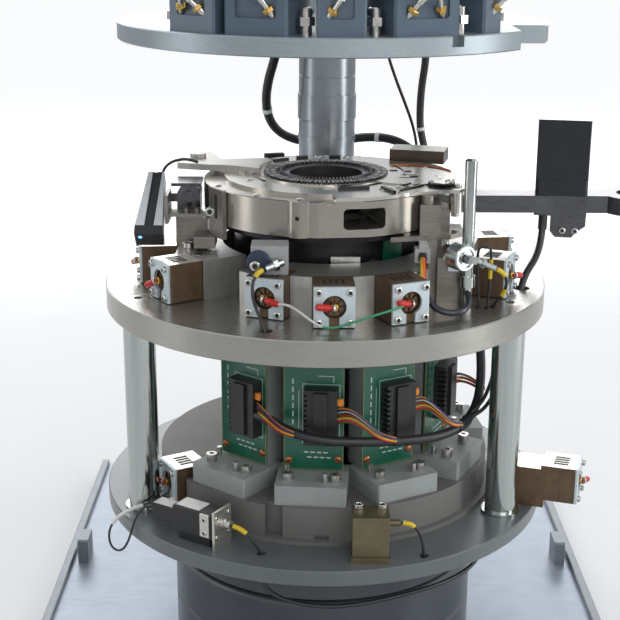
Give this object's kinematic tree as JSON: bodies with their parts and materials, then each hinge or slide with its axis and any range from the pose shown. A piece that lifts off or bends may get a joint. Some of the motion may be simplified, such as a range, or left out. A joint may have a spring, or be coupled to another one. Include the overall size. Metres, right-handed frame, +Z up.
{
  "type": "sock knitting machine",
  "caption": "Small-diameter circular knitting head on a bed plate: needle cylinder, cam ring, selector units between two plates on pillars, and a top head on a rear column.",
  "frame": {"origin": "on the knitting axis, at the underside of the bed plate", "axes": "+Z up along the needle cylinder's axis, -Y towards the front of the machine"},
  "size_m": [0.64, 0.72, 0.726],
  "materials": {
    "bed_metal": "bright machined",
    "trim_metal": "satin",
    "pedestal_paint": "grey paint",
    "plate_paint": "grey paint",
    "pillar_chrome": "polished",
    "plate_metal": "machined",
    "fastener_steel": "satin",
    "needle_steel": "ground",
    "dark_steel": "blackened",
    "gear_steel": "machined",
    "casting_grey": "painted casting",
    "board_green": "coated",
    "black_plastic": "satin",
    "actuator_brown": "bronze anodised",
    "pale_plate": "satin",
    "cam_grey": "satin",
    "black_metal": "black oxide",
    "ring_steel": "brushed",
    "cover_steel": "ground",
    "clear_plastic": "translucent",
    "slate_paint": "slate grey paint",
    "cord_rubber": "matt"
  },
  "bodies": {
    "frame": {"bed_plate": "bed_metal", "bed_trims": "trim_metal", "pedestal": "pedestal_paint", "lower_plate": "plate_paint", "pillars": "pillar_chrome", "upper_plate": "plate_metal", "fasteners": "fastener_steel", "spindle_bearings": "gear_steel", "selector_casting": "casting_grey", "selector_holders": "casting_grey", "selector_boards": "board_green", "board_plugs": "black_plastic", "actuator_bodies": "actuator_brown", "actuator_end_plates": "pale_plate", "cam_base_ring": "cam_grey", "left_cam_block": "cam_grey", "cam_carrier": "black_metal", "knitting_cams": "dark_steel", "cam_ring": "ring_steel", "cam_cover": "cover_steel", "rear_arms": "ring_steel", "left_bracket": "cam_grey", "small_motor": "black_metal", "sensor_amplifier": "trim_metal", "disc_block": "cam_grey", "right_bracket": "ring_steel", "alloy_block": "trim_metal", "wire_connector": "clear_plastic", "air_cylinder": "trim_metal", "proximity_sensors": "pillar_chrome", "guide_rod": "pillar_chrome", "motor_arm": "trim_metal", "motor": "black_metal", "column": "ring_steel", "valve": "black_plastic", "sensor_block": "actuator_brown", "wire_harness": "cord_rubber", "motor_cable": "cord_rubber", "loop_cable": "cord_rubber", "under_cable": "cord_rubber", "sensor_leads": "cord_rubber"},
    "cylinder": {"needle_cylinder": "needle_steel", "needles": "needle_steel", "selector_jacks": "needle_steel", "sinker_ring": "dark_steel", "bull_gear": "gear_steel"},
    "pinion": {"drive_pinion": "gear_steel"},
    "head": {"head_plate": "plate_metal", "feeder_blocks": "slate_paint", "elbows": "gear_steel", "head_cables": "cord_rubber"},
    "air_rod": {"air_rod": "gear_steel"},
    "motor_shaft": {"motor_shaft": "gear_steel"},
    "plunger_1": {"plunger_1": "gear_steel"},
    "plunger_2": {"plunger_2": "gear_steel"},
    "plunger_3": {"plunger_3": "gear_steel"},
    "plunger_4": {"plunger_4": "gear_steel"},
    "plunger_5": {"plunger_5": "gear_steel"},
    "plunger_6": {"plunger_6": "gear_steel"},
    "plunger_7": {"plunger_7": "gear_steel"}
  },
  "joints": [
    {"name": "cylinder_spin", "type": "hinge", "parent": "frame", "child": "cylinder", "pos_m": [0, 0, 0.3], "axis": [0, 0, 1], "continuous": true},
    {"name": "pinion_spin", "type": "hinge", "parent": "frame", "child": "pinion", "pos_m": [0.112, 0, 0.149], "axis": [0, 0, 1], "continuous": true},
    {"name": "head_lift", "type": "slide", "parent": "frame", "child": "head", "axis": [0, 0, 1], "range_m": [-0.068, 0], "deforming": ["head_cables"]},
    {"name": "motor_spin", "type": "hinge", "parent": "frame", "child": "motor_shaft", "pos_m": [0.234, 0.0235, 0.48], "axis": [0, 0, 1], "continuous": true},
    {"name": "air_rod_slide", "type": "slide", "parent": "frame", "child": "air_rod", "axis": [0.5736, -0.8192, 0], "range_m": [0, 0.006]},
    {"name": "plunger_1_slide", "type": "slide", "parent": "frame", "child": "plunger_1", "axis": [0.9925, 0.1219, 0], "range_m": [0, 0.005]},
    {"name": "plunger_2_slide", "type": "slide", "parent": "frame", "child": "plunger_2", "axis": [0.848, 0.5299, 0], "range_m": [0, 0.005]},
    {"name": "plunger_3_slide", "type": "slide", "parent": "frame", "child": "plunger_3", "axis": [0.342, 0.9397, 0], "range_m": [0, 0.005]},
    {"name": "plunger_4_slide", "type": "slide", "parent": "frame", "child": "plunger_4", "axis": [-0.0349, 0.9994, 0], "range_m": [0, 0.005]},
    {"name": "plunger_5_slide", "type": "slide", "parent": "frame", "child": "plunger_5", "axis": [-0.4067, 0.9135, 0], "range_m": [0, 0.005]},
    {"name": "plunger_6_slide", "type": "slide", "parent": "frame", "child": "plunger_6", "axis": [-0.9272, 0.3746, 0], "range_m": [0, 0.005]},
    {"name": "plunger_7_slide", "type": "slide", "parent": "frame", "child": "plunger_7", "axis": [-0.9903, -0.1392, 0], "range_m": [0, 0.005]}
  ],
  "couplings": [
    {"joint": "pinion_spin", "follows": "cylinder_spin", "ratio": -4.6}
  ]
}
